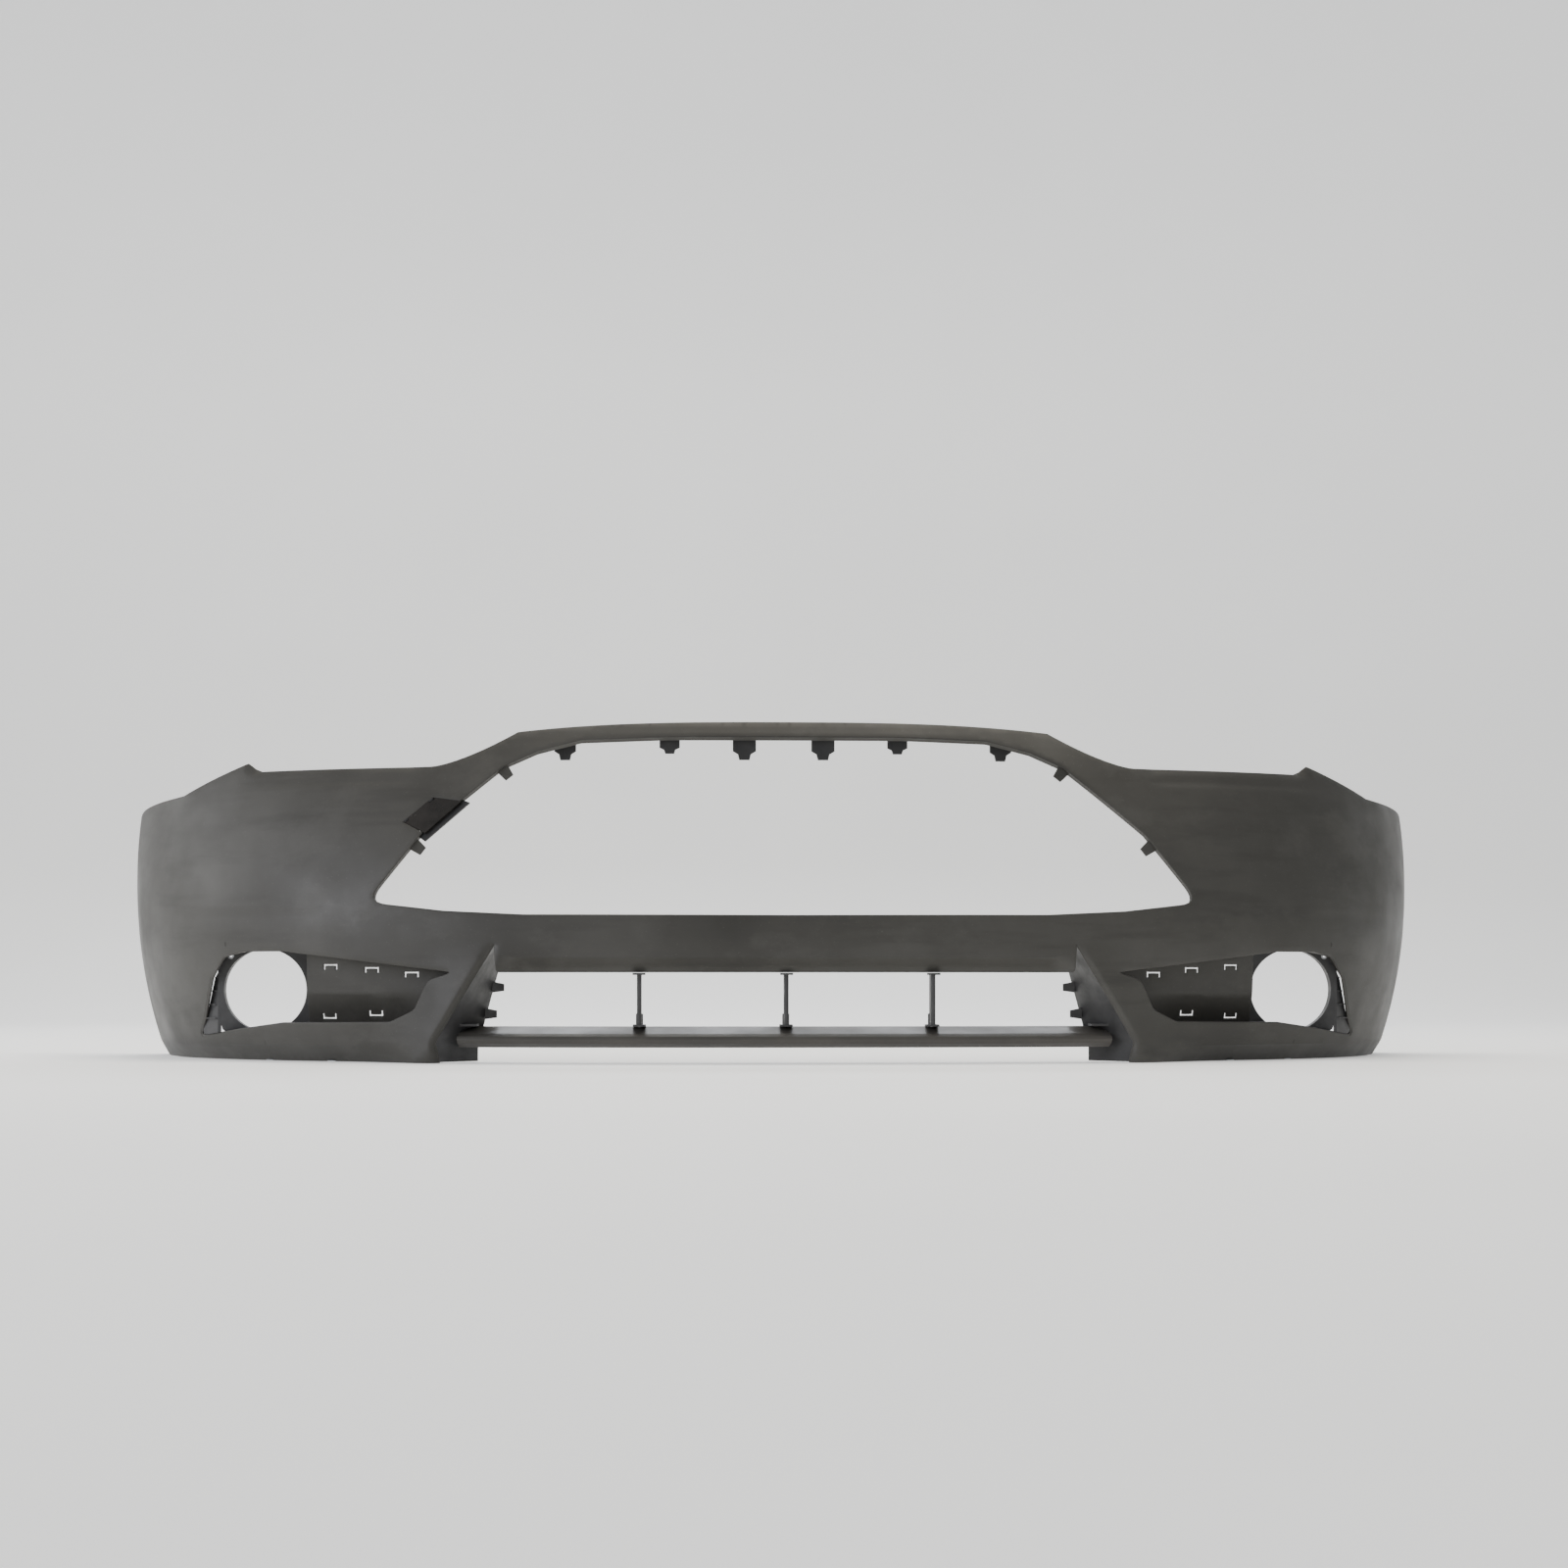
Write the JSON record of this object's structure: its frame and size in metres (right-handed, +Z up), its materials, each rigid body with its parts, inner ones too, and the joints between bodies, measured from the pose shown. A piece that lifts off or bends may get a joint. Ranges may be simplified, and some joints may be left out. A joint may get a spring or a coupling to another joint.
{
  "type": "bumper cover",
  "caption": "Front bumper cover for a hatchback: one-piece skin with grille opening, lower intake, fin pods and fog lamp recesses, with a swinging towing eye cover.",
  "frame": {"origin": "middle of the bottom of the bounding box, on the plane that the bottom edges stand on", "axes": "+X across the car to the right as seen from in front of it, the front of the cover faces -Y, +Z up"},
  "size_m": [1.8164, 0.5598, 0.438],
  "materials": {
    "skin": "grey primer, satin",
    "black_pp": "moulded black polypropylene, fine grain",
    "gloss_black": "gloss dark paint",
    "zinc": "zinc plated"
  },
  "bodies": {
    "cover": {"cover_skin": "skin", "lower_lip": "skin", "intake_strut_left": "black_pp", "intake_strut_centre": "black_pp", "intake_strut_right": "black_pp", "tow_eye_frame": "black_pp", "grille_rail": "black_pp", "fog_carrier_left": "black_pp", "fog_carrier_right": "black_pp", "side_bracket_left": "black_pp", "side_bracket_right": "black_pp", "strut_screws": "zinc", "lip_screws": "zinc", "rail_screws": "zinc", "fog_carrier_screws_left": "zinc", "fog_carrier_screws_right": "zinc", "fog_lamp_inserts_left": "zinc", "fog_lamp_inserts_right": "zinc", "arch_nuts_left": "zinc", "arch_nuts_right": "zinc", "undertray_nuts_left": "zinc", "undertray_nuts_right": "zinc"},
    "tow_flap": {"tow_eye_cover": "gloss_black"}
  },
  "joints": [
    {"name": "tow_flap_swing", "type": "hinge", "parent": "cover", "child": "tow_flap", "pos_m": [-0.46794, -0.18293, 0.32145], "axis": [-0.7622, -0.1056, -0.6386], "range_deg": [0, 65]}
  ]
}
